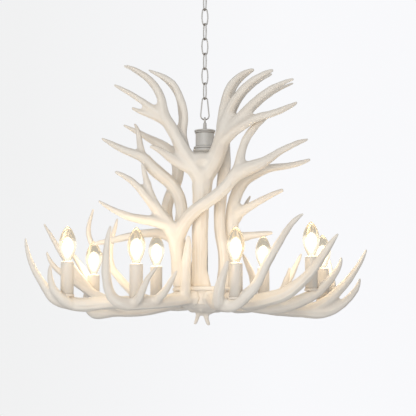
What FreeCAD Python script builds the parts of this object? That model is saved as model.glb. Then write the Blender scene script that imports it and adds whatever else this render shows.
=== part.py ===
"""Antler chandelier: eight resin arm antlers and a crown of six standing antlers on a clamped hub,
eight candle lights with screw-in bulbs, a turned collar, and an oval-link chain to a ceiling canopy.

Millimetres, +Z up. The origin is the middle of the ceiling bracket's top face, where the part is held.
+X is to the right and +Y is away from a viewer in front. The antler stations below are given from the
hub's centre, whose height follows from the chain.
"""
import FreeCAD, Part
import math
import os

V = FreeCAD.Vector

# ---- ceiling fixing ------------------------------------------------------------------------------
BRACKET_LENGTH = 98.0
BRACKET_WIDTH = 22.0
BRACKET_THICK = 2.5
BRACKET_DROP = 14.0            # the middle of the bar stands off the ceiling by this much
BRACKET_WEB = 44.0             # length of the dropped middle
SCREW_SLOT_D = 5.0             # ceiling screw holes
SCREW_SLOT_SPACING = 78.0
CANOPY_D = 120.0
CANOPY_HEIGHT = 30.0
CANOPY_WALL = 1.5
CANOPY_EDGE_R = 14.0
STEM_D = 10.0                  # M10 stem of the canopy loop
NUT_ACROSS = 17.0
NUT_HEIGHT = 5.0
FLANGE_D = 20.0
FLANGE_THICK = 4.0
LOOP_WIRE_D = 4.4
LOOP_RING_D = 20.0             # centreline diameter
LOOP_NECK = 8.0
LOOP_STEM_PROUD = 1.5          # stem above the upper nut

# ---- chain ---------------------------------------------------------------------------------------
WIRE_D = 3.0
LINK_COUNT = 8                 # plain links, above the wide bottom link
LINK_LENGTH = 45.0             # outside
LINK_WIDTH = 20.0
LAST_LINK_LENGTH = 59.0
LAST_LINK_TOP_W = 17.0
LAST_LINK_BOTTOM_W = 25.0
CHAIN_GAP = 0.3                # clearance where one wire hangs on the next

# ---- collar and centre tube ----------------------------------------------------------------------
EYE_WIRE_D = 5.0
EYE_RING_D = 13.0
EYE_ABOVE_HUB = 449.0          # eye centre
STEM_TOP_D = 9.0
STEM_FOOT_D = 14.0
STEM_HEIGHT = 19.0             # turned stem between the lid and the eye
STEM_FOOT_H = 3.0
STEM_TAPER_H = 5.0
STEM_SPIGOT = 14.0             # threaded length inside the centre tube
LID_D = 54.0
LID_THICK = 8.0
LID_SPIGOT = 6.0
CUP_BODY_D = 47.0
CUP_WALL = 3.0
CUP_BODY_H = 34.0
BEAD_D = 60.0
BEAD_H = 15.0
CONE_H = 14.0
CONE_FOOT_D = 34.0
TUBE_D = 16.0
TUBE_BORE = 12.0
TUBE_FIT = 0.3                 # radial clearance of plates and cup on the tube
SPIGOT_FIT = 0.05              # radial clearance of threads and spigots
TUBE_NUT_ACROSS = 24.0
TUBE_NUT_HEIGHT = 6.0
TUBE_UNDER_LID = 2.0           # space between the tube's top and the lid's spigot
TUBE_BELOW_NUT = 6.0           # end of the tube, inside the finial

# ---- hub -----------------------------------------------------------------------------------------
ARM_COUNT = 8
BUTT_FLAT = 14.0               # half of the height between the two clamping plates
BURR_START = 16.0              # each arm flares into a burr this far from its sawn end
BURR_FORM = [(0, 12), (6, 19.5), (12, 22), (18, 19.5), (25, 12)]     # (distance, mean radius)
PLATE_THICK = 4.0
TOP_PLATE_D = 150.0
BOTTOM_PLATE_D = 124.0
SPACER_D = 40.0
HUB_SCREW_D = 6.0
HUB_SCREW_CIRCLE_R = 55.0
HUB_HEAD_D = 10.0
HUB_HEAD_H = 3.5
HUB_HEAD_BEVEL = 1.2
HUB_SCREW_SHORT = 0.5          # the screws end this far under the upper plate's top
SCREW_CLEARANCE = 0.3
SAW_ROOM = 60.0                # height cleared of antler over and under the plates
SAW_MARGIN = 1.0               # and this far outside their edges
CROWN_PLATE_D = 162.0
CROWN_PLATE_THICK = 7.0
CROWN_RIM_DROP = 3.5            # the disc's rim hides the upper plate's edge
CROWN_EDGE_R = 3.0
CROWN_SCREW_D = 5.0
CROWN_HEAD_D = 10.0
CROWN_HEAD_H = 2.8
CROWN_SCREW_GRIP = 18.0        # length of screw in each crown antler
FINIAL_FORM = [(60, 0), (60, 3), (53, 9), (36, 15), (19, 22), (14, 24), (9, 27)]     # (radius, depth)
FINIAL_SCREW_ROOM = 1.0        # round and under each screw head
FINIAL_NUT_CLEAR_D = 31.0      # pocket for the tube's lower nut
FINIAL_NUT_ROOM = TUBE_NUT_HEIGHT + 1.0
KNOB_COUNT = 7                 # lumps round the finial, as on an antler's burr
KNOB_FORM = [(26, -29, 9), (39, -28.5, 8.5), (47, -29, 4)]           # (from the axis, height, radius)

# ---- candles -------------------------------------------------------------------------------------
SEAT_CLEAR_D = 37.0            # flat that is cut in the beam for the candle cup
CANDLE_CUP_D = 36.0
CANDLE_CUP_THICK = 3.0
CANDLE_CUP_RIM = 3.0
SLEEVE_D = 32.0
SLEEVE_WALL = 1.8
SLEEVE_HEIGHT = 84.0
SLEEVE_EDGE_R = 5.0
NIPPLE_D = 10.0
NIPPLE_BORE = 7.0
NIPPLE_IN_ARM = 11.0
HOLDER_D = 25.0
HOLDER_TOP_D = 21.0
HOLDER_BASE_THICK = 8.0
NIPPLE_IN_HOLDER = 6.0
HOLDER_START = 15.0            # holder's underside above the cup's floor
CAP_D = 14.0                   # screw cap of the bulb
CAP_HEIGHT = 26.0
CAP_FIT = 0.35
HOLDER_BELOW_LIP = 1.0         # holder's top under the sleeve's
HOLDER_UNDER_CAP = 2.0         # space under the bulb's cap
BULB_D = 43.0
BULB_HEIGHT = 86.0
BULB_NECK_D = 17.0
BULB_GLASS = 1.0
BULB_STEM_D = 5.0
BULB_STEM_H = 44.0
BULB_LIFT = 1.0                # glass above the sleeve's top edge

# ---- antler form ---------------------------------------------------------------------------------
RIDGES = 8                     # long soft ridges round each beam
RIDGE_GROWTH = 1.035           # a ridge stands this share proud of the mean round section

# Stations (x, y, z, mean radius) along each beam and tine, from the hub's centre.
ARM_ANTLERS = {
    1: [
        [(36.4, -21, 0, 15.5), (76, -40, -8, 16), (112, -46, -16, 18), (130, -54, -16, 16)],
        [(100, -42, -14, 17), (130, -66, -12, 17.5), (160, -86, -5, 17), (193, -98, 5, 16.5),
         (222, -106, 25, 14.5), (251, -112, 51, 12.5), (289, -118, 102, 9), (308, -120, 130, 6),
         (323, -122, 150, 2)],
        [(100, -40, -16, 16), (150, -36, -26, 16), (200, -28, -22, 15.5), (240, -24, -8, 15),
         (266, -22, 4, 14), (298, -22, 28, 11.5), (322, -24, 56, 8.5), (336, -26, 80, 5.5),
         (340, -28, 98, 2.3)],
        [(180, -28, -24, 12), (192, -14, 10, 9), (203, -6, 40, 6.5), (214, 0, 76, 2.3)],
    ],
    2: [
        [(40.6, 10.9, 0, 15.5), (85, 24, -10, 15), (150, 46, -24, 16), (204, 56, -30, 16.5),
         (255, 62, -33, 17), (296, 66, -36, 15.5), (327, 68, -30, 12.5), (358, 70, -10, 10),
         (383, 72, 15, 7.5), (399, 73, 51, 2.3)],
        [(268, 64, -30, 15), (306, 60, -12, 13.5), (337, 56, 14, 11.5), (368, 54, 48, 9),
         (396, 52, 88, 6), (413, 50, 123, 2.3)],
        [(225, 58, -32, 14), (270, 80, -24, 14), (306, 102, -19, 13.5), (328, 118, 0, 11),
         (334, 130, 35, 8.5), (330, 138, 75, 6), (326, 142, 110, 2.5)],
    ],
    3: [
        [(21, 36.4, 0, 15.5), (46, 82, -12, 15), (85, 130, -21, 16), (122, 165, -18, 16),
         (156, 190, -14, 13.5), (190, 206, -3, 12.5), (205, 220, 20, 10), (222, 228, 45, 8.5),
         (245, 234, 90, 6.5), (262, 238, 125, 2.5)],
        [(118, 163, -22, 12), (128, 168, 20, 10), (126, 162, 55, 8.5), (112, 154, 92, 6.5),
         (98, 148, 122, 2.5)],
    ],
    4: [
        [(-10.9, 40.6, 0, 15.5), (-22, 82, -8, 15), (-48, 125, -14, 16), (-88, 160, -14, 16),
         (-130, 190, -8, 14), (-172, 206, 6, 12.5), (-213, 216, 38, 10.5), (-255, 222, 88, 9),
         (-288, 226, 126, 8), (-310, 228, 158, 7), (-317, 229, 191, 6), (-311, 230, 222, 4.5),
         (-304, 230, 246, 2.3)],
        [(-250, 221, 82, 9), (-256, 214, 120, 7.5), (-250, 210, 165, 6), (-237, 208, 219, 2.3)],
    ],
    5: [
        [(-36.4, 21, 0, 15.5), (-80, 42, -14, 15), (-140, 66, -27, 15.5), (-200, 90, -31, 16),
         (-250, 107, -33, 15.5), (-291, 120, -35, 14), (-308, 134, -12, 12), (-306, 150, 25, 10.5),
         (-315, 160, 62, 9), (-337, 168, 98, 7), (-364, 174, 133, 2.5)],
        [(-210, 90, -28, 14), (-250, 82, -8, 13), (-290, 80, 12, 12), (-322, 82, 34, 10.5),
         (-357, 86, 56, 8.5), (-388, 90, 80, 6.5), (-411, 94, 120, 2.3)],
        [(-290, 80, 12, 11), (-325, 94, 55, 10), (-357, 104, 95, 8.5), (-380, 110, 127, 7),
         (-401, 114, 161, 5), (-422, 118, 195, 2.2)],
    ],
    6: [
        [(-40.6, -10.9, 0, 15.5), (-85, -24, -6, 14), (-140, -42, -12, 14.5), (-200, -58, -14, 15),
         (-258, -68, -17, 16), (-308, -72, -20, 16.5), (-337, -72, -15, 15), (-366, -80, -6, 12.5),
         (-391, -85, 25, 9.5), (-413, -90, 60, 7.5), (-428, -95, 96, 5.5), (-437, -98, 140, 2.2)],
        [(-326, -78, -18, 13), (-352, -98, 0, 10), (-368, -108, 22, 8), (-374, -114, 50, 6),
         (-373, -118, 75, 2.2)],
    ],
    7: [
        [(-21, -36.4, 0, 15.5), (-42, -76, -5, 14.5), (-78, -115, -12, 15), (-115, -145, -16, 15.5),
         (-162, -170, -20, 15), (-190, -185, -20, 14.5), (-214, -196, -8, 12.5), (-226, -203, 20, 11),
         (-230, -207, 52, 10.5), (-230, -210, 88, 9), (-227, -213, 125, 6.5), (-220, -216, 160, 2.3)],
        [(-165, -176, -16, 13), (-150, -200, 0, 9.5), (-141, -214, 20, 7.5), (-127, -224, 44, 5.5),
         (-110, -230, 63, 2.3)],
        [(-118, -147, -15, 13), (-104, -170, -2, 10), (-90, -184, 14, 8), (-77, -193, 36, 6),
         (-65, -198, 57, 2.3)],
        [(-48, -84, -4, 13), (-47, -98, 18, 12), (-46, -104, 55, 11.5), (-43, -106, 95, 10.5),
         (-40, -106, 125, 7.5), (-40, -106, 146, 3)],
    ],
    8: [
        [(10.9, -40.6, 0, 15.5), (18, -80, -8, 15), (28, -125, -18, 16), (44, -160, -22, 17),
         (73.6, -188, -20, 15), (93, -200, -5, 14), (117, -207, 19, 12), (135, -212, 51, 10.5),
         (149, -215, 79, 10), (168, -218, 111, 9), (191, -222, 148, 7), (209, -224, 171, 5.5),
         (231, -226, 188, 2)],
        [(38, -158, -20, 16), (32, -190, -8, 14), (36, -206, 20, 11.5), (43, -214, 45, 8.5),
         (51, -219, 68, 5.5), (54, -222, 80, 2.3)],
    ],
}

CROWN_ANTLERS = {
    1: [
        [(-15, -32, 10, 19), (-14, -33, 60, 18), (-13, -34, 120, 18.5), (-11, -36, 190, 19),
         (-8, -38, 250, 21.5), (-5, -42, 295, 24.5), (-3, -44, 318, 21)],
        [(6, -38, 12, 13), (3, -37, 32, 11), (-2, -36, 62, 8.5), (-6, -35, 95, 6)],
        [(-24, -47, 334, 22), (-8, -46, 340, 20), (8, -46, 337, 18)],
        [(-5, -42, 285, 21), (-28, -47, 325, 22), (-50, -50, 356, 19), (-68, -53, 391, 15),
         (-87, -56, 426, 14.5), (-103, -58, 456, 13), (-108, -60, 487, 10.5), (-122, -62, 522, 9),
         (-154, -65, 554, 7), (-197, -68, 577, 2)],
        [(-98, -57, 444, 11), (-126, -60, 466, 8.5), (-156, -64, 486, 7), (-190, -68, 507, 5.5),
         (-226, -72, 526, 2.5)],
        [(-86, -56, 424, 12), (-112, -54, 444, 10), (-142, -56, 455, 7.5), (-182, -60, 470, 3)],
        [(-44, -49, 346, 16), (-53, -38, 383, 12), (-55, -32, 412, 9.5), (-51, -30, 442, 8.5),
         (-53, -32, 472, 8.5), (-64, -36, 503, 9), (-76, -40, 530, 8), (-110, -44, 555, 6),
         (-139, -46, 568, 2.5)],
        [(-28, -47, 318, 16), (-60, -54, 331, 14), (-86, -60, 345, 11), (-108, -64, 360, 8),
         (-136, -68, 372, 3)],
        [(-4, -42, 290, 22), (15, -46, 324, 22), (33, -50, 360, 21), (42, -52, 394, 18),
         (47, -52, 420, 15), (56, -50, 450, 12.5), (70, -52, 482, 11), (90, -58, 511, 9.5),
         (119, -64, 538, 8.5), (147, -68, 554, 6.5), (171, -70, 564, 3)],
        [(42, -52, 400, 15), (44, -40, 436, 13), (48, -34, 470, 12.5), (53, -32, 498, 11),
         (62, -32, 526, 10), (82, -34, 552, 8), (124, -38, 573, 2.5)],
        [(42, -52, 388, 17), (66, -60, 420, 15), (90, -66, 446, 13), (114, -72, 472, 11),
         (139, -76, 495, 9.5), (170, -80, 517, 7.5), (221, -84, 538, 2.5)],
        [(40, -52, 380, 17), (62, -66, 402, 14), (94, -76, 424, 12), (128, -82, 441, 10),
         (163, -86, 450, 8.5), (196, -90, 462, 7), (228, -92, 478, 3)],
    ],
    2: [
        [(42, -4, 10, 17), (48, -6, 70, 14), (47, -8, 110, 13.5), (40, -9, 155, 13.5),
         (37, -8, 200, 13.5), (40, -6, 245, 14), (46, -2, 290, 15), (50, 6, 335, 15),
         (50, 14, 375, 14), (52, 26, 415, 12), (54, 38, 455, 10), (62, 46, 500, 8.5),
         (74, 54, 540, 6.5), (98, 62, 572, 4.5), (128, 68, 595, 2.5)],
        [(52, 26, 415, 10), (72, 42, 478, 8.5), (92, 54, 518, 7.5), (125, 64, 554, 6),
         (175, 74, 586, 2.5)],
        [(51, 20, 400, 11), (82, 38, 446, 10), (118, 52, 484, 8.5), (150, 62, 516, 7),
         (190, 70, 543, 5), (232, 76, 562, 2.5)],
        [(50, 4, 325, 12), (54, 36, 345, 10), (57, 64, 375, 8), (60, 86, 410, 5.5),
         (62, 100, 440, 2.5)],
    ],
    3: [
        [(-56, -26, 10, 17), (-66, -36, 60, 16), (-69, -46, 105, 15.5), (-70, -54, 140, 18),
         (-66, -57, 156, 17)],
        [(-70, -54, 135, 17), (-56, -64, 170, 16.5), (-33, -71, 202, 16), (-2, -75, 227, 15.5),
         (32, -76, 251, 15), (60, -76, 280, 15), (76, -76, 304, 14)],
        [(72, -76, 294, 14), (86, -74, 330, 12), (92, -70, 360, 10), (102, -66, 389, 9.5),
         (117, -64, 412, 9), (138, -62, 434, 6.5), (161, -60, 450, 3)],
        [(66, -76, 286, 15), (96, -80, 311, 17), (127, -84, 322, 15), (152, -88, 334, 11.5),
         (181, -90, 353, 8.5), (216, -94, 371, 6.5), (254, -96, 385, 2.5)],
        [(-70, -54, 135, 17), (-83, -58, 165, 18), (-101, -62, 190, 17), (-117, -66, 213, 14),
         (-131, -68, 243, 10.5), (-140, -70, 272, 8.5), (-148, -70, 301, 6), (-155, -70, 329, 2.5)],
        [(-108, -64, 200, 13), (-134, -74, 232, 11), (-154, -80, 257, 9.5), (-178, -86, 281, 7.5),
         (-198, -90, 294, 6), (-220, -94, 305, 2.5)],
        [(-88, -60, 172, 15), (-119, -74, 183, 13), (-149, -82, 188, 11), (-183, -90, 194, 9.5),
         (-212, -96, 205, 7.5), (-241, -101, 220, 5), (-259, -104, 232, 2.5)],
    ],
    4: [
        [(-38, 10, 10, 18), (-52, 0, 80, 14), (-62, -10, 130, 14), (-62, -14, 180, 14),
         (-58, -16, 215, 14.5), (-63, -18, 245, 15), (-78, -24, 275, 15), (-105, -32, 301, 15.5),
         (-135, -38, 327, 15), (-152, -41, 346, 12.5), (-175, -46, 356, 10.5), (-205, -50, 367, 8.5),
         (-234, -54, 381, 6), (-257, -56, 394, 2.5)],
        [(-148, -40, 342, 11), (-161, -36, 371, 8), (-165, -33, 396, 6.5), (-170, -30, 421, 5),
         (-177, -28, 436, 2.5)],
    ],
    5: [
        [(42, 42, 10, 17), (52, 30, 70, 15), (60, 26, 115, 15), (66, 22, 155, 17),
         (68, 20, 195, 17), (72, 18, 235, 15), (84, 14, 270, 15), (104, 10, 298, 14),
         (134, 5, 315, 12), (167, 0, 327, 9.5), (200, -4, 330, 8), (235, -8, 337, 6.5),
         (267, -10, 348, 3)],
        [(66, 20, 203, 16), (90, 14, 216, 13), (118, 8, 232, 9.5), (152, 2, 250, 7.5),
         (177, -1, 262, 6), (198, -3, 271, 4)],
        [(66, 22, 150, 16), (96, 18, 153, 12), (121, 14, 157, 9), (146, 12, 160, 7),
         (171, 10, 163, 4)],
        [(64, 24, 165, 13), (74, 50, 187, 10), (90, 76, 212, 8), (106, 96, 243, 5.5),
         (119, 108, 268, 2.5)],
    ],
    6: [
        [(-28, 50, 10, 17), (-50, 42, 90, 14), (-80, 38, 150, 15), (-96, 36, 200, 14),
         (-95, 36, 240, 14), (-82, 35, 275, 14), (-70, 34, 310, 14), (-72, 36, 345, 14),
         (-88, 40, 372, 14), (-116, 46, 395, 12), (-147, 50, 413, 8.5), (-178, 53, 430, 6),
         (-211, 56, 447, 2.5)],
        [(-71, 36, 340, 12), (-65, 46, 385, 12), (-63, 52, 420, 10), (-59, 54, 455, 9),
         (-61, 56, 490, 8.5), (-71, 58, 527, 7.5), (-92, 60, 557, 6), (-148, 62, 594, 2.5)],
        [(-64, 50, 396, 10), (-84, 58, 434, 10), (-105, 64, 474, 9), (-113, 67, 509, 8),
         (-132, 70, 549, 7), (-168, 73, 584, 5), (-212, 76, 608, 2.5)],
        [(-80, 36, 148, 14), (-110, 42, 163, 12), (-150, 47, 165, 10), (-190, 52, 158, 9),
         (-230, 58, 150, 8), (-290, 68, 138, 3)],
        [(-92, 36, 185, 12), (-100, 62, 202, 10), (-110, 90, 217, 8), (-120, 114, 234, 5.5),
         (-128, 128, 250, 2.5)],
    ],
}

# Where each candle stands: the arm antler that carries it, and x, y and the height of its flat.
CANDLES = {
    1: (6, -337, -72, -1),
    2: (5, -291, 120, -24),
    3: (7, -162, -170, -12),
    4: (4, -130, 190, 2),
    5: (8, 73.6, -188, -11),
    6: (3, 156, 190, -2),
    7: (1, 266, -22, 15),
    8: (2, 306, 102, -8),
}

# The two small prongs under the finial.
FINIAL_PRONGS = [
    [(-10, -2, -30, 8), (-18, -4, -46, 5.5), (-21, -5, -58, 5), (-26, -6, -68, 4)],
    [(2, -3, -30, 9), (3, -5, -48, 6.5), (6, -6, -60, 5.5), (12, -7, -70, 4.2)],
]

# ---- heights that follow from the sizes above ----------------------------------------------------
CANOPY_FLOOR = -CANOPY_HEIGHT
RING_CENTRE = CANOPY_FLOOR - FLANGE_THICK - LOOP_NECK - LOOP_RING_D / 2
LOOP_BOTTOM = RING_CENTRE - LOOP_RING_D / 2          # centre of the wire that the chain hangs on
FIRST_TOP = LOOP_BOTTOM + (LOOP_WIRE_D + WIRE_D) / 2 + CHAIN_GAP
LINK_PITCH = LINK_LENGTH - 2 * WIRE_D - CHAIN_GAP
LAST_TOP = FIRST_TOP - LINK_COUNT * LINK_PITCH
LAST_BOTTOM = LAST_TOP - (LAST_LINK_LENGTH - WIRE_D)
EYE_CENTRE = LAST_BOTTOM + (EYE_WIRE_D + WIRE_D) / 2 + CHAIN_GAP - EYE_RING_D / 2
HUB_Z = EYE_CENTRE - EYE_ABOVE_HUB
LID_TOP = EYE_CENTRE - EYE_RING_D / 2 - STEM_HEIGHT
CUP_TOP = LID_TOP - LID_THICK
CUP_FLOOR = CUP_TOP - CUP_BODY_H + CUP_WALL
CUP_FOOT = CUP_TOP - CUP_BODY_H - BEAD_H - CONE_H
TUBE_TOP = CUP_TOP - LID_SPIGOT - TUBE_UNDER_LID
TOP_FACE = HUB_Z + BUTT_FLAT + PLATE_THICK            # top of the upper clamping plate
BOTTOM_FACE = HUB_Z - BUTT_FLAT - PLATE_THICK
CROWN_FACE = TOP_FACE + CROWN_PLATE_THICK
TUBE_BOTTOM = BOTTOM_FACE - TUBE_NUT_HEIGHT - TUBE_BELOW_NUT

os.makedirs("parts", exist_ok=True)


def write(name, shape):
    """One STEP file for each named piece."""
    shape.exportStep("parts/" + name + ".step")


def cylinder(diameter, low, high, x=0.0, y=0.0):
    return Part.makeCylinder(diameter / 2, high - low, V(x, y, low))


def turned(profile):
    """A turned piece from its half section, (radius, height) round the Z axis."""
    wire = Part.makePolygon([V(r, 0, z) for r, z in profile + profile[:1]])
    return Part.Face(wire).revolve(V(0, 0, 0), V(0, 0, 1), 360)


def hexagon(across, low, high, bore):
    """A plain hex nut on the Z axis."""
    corner = across / math.sqrt(3)
    ring = [V(corner * math.cos(math.radians(60 * k)), corner * math.sin(math.radians(60 * k)), low)
            for k in range(7)]
    nut = Part.Face(Part.makePolygon(ring)).extrude(V(0, 0, high - low))
    return nut.cut(cylinder(bore, low - 1, high + 1))


def at(shape, x, y, z):
    placed = shape.copy()
    placed.translate(V(x, y, z))
    return placed


# ---- ceiling bracket, canopy and loop ------------------------------------------------------------
def ceiling_bracket():
    """A steel bar, joggled down in the middle so that the nut clears the ceiling."""
    half = BRACKET_LENGTH / 2
    web = BRACKET_WEB / 2
    outline = [(-half, 0), (-web - BRACKET_THICK, 0), (-web, -BRACKET_DROP + BRACKET_THICK),
               (web, -BRACKET_DROP + BRACKET_THICK), (web + BRACKET_THICK, 0), (half, 0),
               (half, -BRACKET_THICK), (web + 2 * BRACKET_THICK, -BRACKET_THICK),
               (web + BRACKET_THICK, -BRACKET_DROP), (-web - BRACKET_THICK, -BRACKET_DROP),
               (-web - 2 * BRACKET_THICK, -BRACKET_THICK), (-half, -BRACKET_THICK)]
    wire = Part.makePolygon([V(x, -BRACKET_WIDTH / 2, z) for x, z in outline + outline[:1]])
    bar = Part.Face(wire).extrude(V(0, BRACKET_WIDTH, 0))
    for side in (-1, 1):
        bar = bar.cut(cylinder(SCREW_SLOT_D, -BRACKET_THICK - 1, 1, side * SCREW_SLOT_SPACING / 2))
    return bar.cut(cylinder(STEM_D + 2 * TUBE_FIT, -BRACKET_DROP - 1, 1))


def canopy():
    """A spun dish with a rolled-in shoulder, open towards the ceiling."""
    outer = cylinder(CANOPY_D, CANOPY_FLOOR, 0)
    low_edge = [e for e in outer.Edges if abs(e.BoundBox.ZMax - CANOPY_FLOOR) < 0.01]
    outer = outer.makeFillet(CANOPY_EDGE_R, low_edge)
    inner = cylinder(CANOPY_D - 2 * CANOPY_WALL, CANOPY_FLOOR + CANOPY_WALL, CANOPY_WALL)
    low_edge = [e for e in inner.Edges if abs(e.BoundBox.ZMax - CANOPY_FLOOR - CANOPY_WALL) < 0.01]
    inner = inner.makeFillet(CANOPY_EDGE_R - CANOPY_WALL, low_edge)
    return outer.cut(inner).cut(cylinder(STEM_D + 2 * TUBE_FIT, CANOPY_FLOOR - 1, 0))


def ring(ring_d, wire_d, centre):
    """A welded ring that stands in the YZ plane."""
    return Part.makeTorus(ring_d / 2, wire_d / 2, V(0, 0, centre), V(1, 0, 0))


def canopy_loop():
    """The threaded stem, its flange under the canopy, and the ring that carries the chain."""
    stem = cylinder(STEM_D, CANOPY_FLOOR, -BRACKET_DROP + BRACKET_THICK + NUT_HEIGHT + LOOP_STEM_PROUD)
    flange = cylinder(FLANGE_D, CANOPY_FLOOR - FLANGE_THICK, CANOPY_FLOOR)
    neck = cylinder(STEM_D, RING_CENTRE + LOOP_RING_D / 2 - LOOP_WIRE_D / 4, CANOPY_FLOOR - FLANGE_THICK)
    return stem.multiFuse([flange, neck, ring(LOOP_RING_D, LOOP_WIRE_D, RING_CENTRE)]).removeSplitter()


def canopy_nuts():
    """One nut on each side of the bracket's web."""
    bore = STEM_D + 2 * SPIGOT_FIT
    web_top = -BRACKET_DROP + BRACKET_THICK
    return Part.makeCompound([
        hexagon(NUT_ACROSS, web_top, web_top + NUT_HEIGHT, bore),
        hexagon(NUT_ACROSS, -BRACKET_DROP - NUT_HEIGHT, -BRACKET_DROP, bore)])


# ---- chain ---------------------------------------------------------------------------------------
def round_face(centre, normal):
    return Part.Face(Part.Wire(Part.makeCircle(WIRE_D / 2, centre, normal)))


def round_bar(start, run):
    return round_face(start, run).extrude(run)


def chain_link(top, length, top_width, bottom_width, turned_quarter):
    """A bent and welded wire link that hangs from the centre of its top bow's wire."""
    upper = (top_width - WIRE_D) / 2
    lower = (bottom_width - WIRE_D) / 2
    top_centre = top - upper
    bottom_centre = top - (length - WIRE_D) + lower
    lean = math.asin((lower - upper) / (top_centre - bottom_centre))

    def point(radius, angle, centre):
        return V(radius * math.cos(angle), 0, centre + radius * math.sin(angle))

    def side(angle):
        start, end = point(upper, angle, top_centre), point(lower, angle, bottom_centre)
        return round_bar(start, end - start)
    start = point(upper, lean, top_centre)
    section = round_face(start, point(lower, lean, bottom_centre) - start)
    sweep = 180 - 2 * math.degrees(lean)
    top_bow = section.revolve(V(0, 0, top_centre), V(0, -1, 0), sweep)
    start = point(lower, lean, bottom_centre)
    section = round_face(start, point(upper, lean, top_centre) - start)
    bottom_bow = section.revolve(V(0, 0, bottom_centre), V(0, 1, 0), 360 - sweep)
    link = top_bow.multiFuse([side(lean), side(math.pi - lean), bottom_bow])
    if turned_quarter:
        link.rotate(V(0, 0, 0), V(0, 0, 1), 90)
    return link


# ---- collar and centre tube ----------------------------------------------------------------------
def loop_stem():
    """The turned stem over the lid, with the eye above and the threaded spigot in the tube."""
    low = TUBE_TOP - STEM_SPIGOT
    lift = LID_TOP + STEM_FOOT_H
    eye_foot = EYE_CENTRE - EYE_RING_D / 2
    spigot = (TUBE_BORE - 2 * SPIGOT_FIT) / 2
    body = turned([(0, low), (spigot, low), (spigot, LID_TOP), (STEM_FOOT_D / 2, LID_TOP),
                   (STEM_FOOT_D / 2, lift), (STEM_TOP_D / 2, lift + STEM_TAPER_H),
                   (STEM_TOP_D / 2, eye_foot), (0, eye_foot)])
    return body.fuse(ring(EYE_RING_D, EYE_WIRE_D, EYE_CENTRE)).removeSplitter()


def collar_lid():
    """The cap of the collar, with a rolled rim and a spigot inside the cup."""
    rim = LID_D / 2
    spigot = CUP_BODY_D / 2 - CUP_WALL - TUBE_FIT
    hole = TUBE_BORE / 2 + TUBE_FIT
    return turned([(hole, LID_TOP), (rim - 3, LID_TOP), (rim, LID_TOP - 2), (rim, LID_TOP - 6),
                   (rim - 2, CUP_TOP), (spigot, CUP_TOP), (spigot, CUP_TOP - LID_SPIGOT),
                   (spigot - 3, CUP_TOP - LID_SPIGOT), (spigot - 3, CUP_TOP), (hole, CUP_TOP)])


def collar_cup():
    """The collar's body: a straight cup over two rolled beads and a short cone."""
    body = CUP_BODY_D / 2
    bead = BEAD_D / 2
    shoulder = CUP_TOP - CUP_BODY_H
    foot = shoulder - BEAD_H
    bore = TUBE_D / 2 + TUBE_FIT
    return turned([(bore, CUP_FLOOR), (body - CUP_WALL, CUP_FLOOR), (body - CUP_WALL, CUP_TOP),
                   (body, CUP_TOP), (body, shoulder), (bead - 3, shoulder), (bead - 1, shoulder - 2),
                   (bead - 1, shoulder - 4), (bead - 3, shoulder - 6), (bead, shoulder - 8),
                   (bead, shoulder - 12), (bead - 3, foot), (bead - 8, foot - 1),
                   (CONE_FOOT_D / 2, CUP_FOOT), (bore, CUP_FOOT)])


def centre_tube():
    return cylinder(TUBE_D, TUBE_BOTTOM, TUBE_TOP).cut(cylinder(TUBE_BORE, TUBE_BOTTOM - 1, TUBE_TOP + 1))


def tube_nuts():
    """Nuts on the threaded tube: two clamp the hub and two clamp the collar cup."""
    bore = TUBE_D + 2 * SPIGOT_FIT
    lows = [BOTTOM_FACE - TUBE_NUT_HEIGHT, CROWN_FACE, CUP_FOOT - TUBE_NUT_HEIGHT, CUP_FLOOR]
    return Part.makeCompound([hexagon(TUBE_NUT_ACROSS, low, low + TUBE_NUT_HEIGHT, bore) for low in lows])


# ---- hub -----------------------------------------------------------------------------------------
def arm_angle(number):
    """The arm antlers leave the hub at even steps, clockwise seen from below."""
    return math.radians(330 + (number - 1) * 360 / ARM_COUNT)


def screw_places():
    return [(HUB_SCREW_CIRCLE_R * math.cos(arm_angle(n)), HUB_SCREW_CIRCLE_R * math.sin(arm_angle(n)))
            for n in range(1, ARM_COUNT + 1)]


def crown_places():
    """The first station of each crown antler stands over its fixing screw."""
    return [CROWN_ANTLERS[n][0][0][:2] for n in sorted(CROWN_ANTLERS)]


def clamp_plate(diameter, low, hole):
    """A round steel plate, drilled for the tube and for one screw in each arm."""
    plate = cylinder(diameter, low, low + PLATE_THICK)
    holes = [cylinder(TUBE_D + 2 * TUBE_FIT, low - 1, low + PLATE_THICK + 1)]
    holes += [cylinder(hole, low - 1, low + PLATE_THICK + 1, x, y) for x, y in screw_places()]
    return plate.cut(holes)


def hub_spacer():
    spacer = cylinder(SPACER_D, HUB_Z - BUTT_FLAT, HUB_Z + BUTT_FLAT)
    return spacer.cut(cylinder(TUBE_D + 2 * TUBE_FIT, HUB_Z - BUTT_FLAT - 1, HUB_Z + BUTT_FLAT + 1))


def hub_screws():
    """Pan-head screws from below, through the plate and the arm into the upper plate."""
    head, shank = HUB_HEAD_D / 2, HUB_SCREW_D / 2
    low = BOTTOM_FACE - HUB_HEAD_H
    top = TOP_FACE - HUB_SCREW_SHORT
    screw = turned([(0, low), (head - HUB_HEAD_BEVEL, low), (head, low + HUB_HEAD_BEVEL),
                    (head, BOTTOM_FACE), (shank, BOTTOM_FACE), (shank, top), (0, top)])
    return Part.makeCompound([at(screw, x, y, 0) for x, y in screw_places()])


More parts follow.
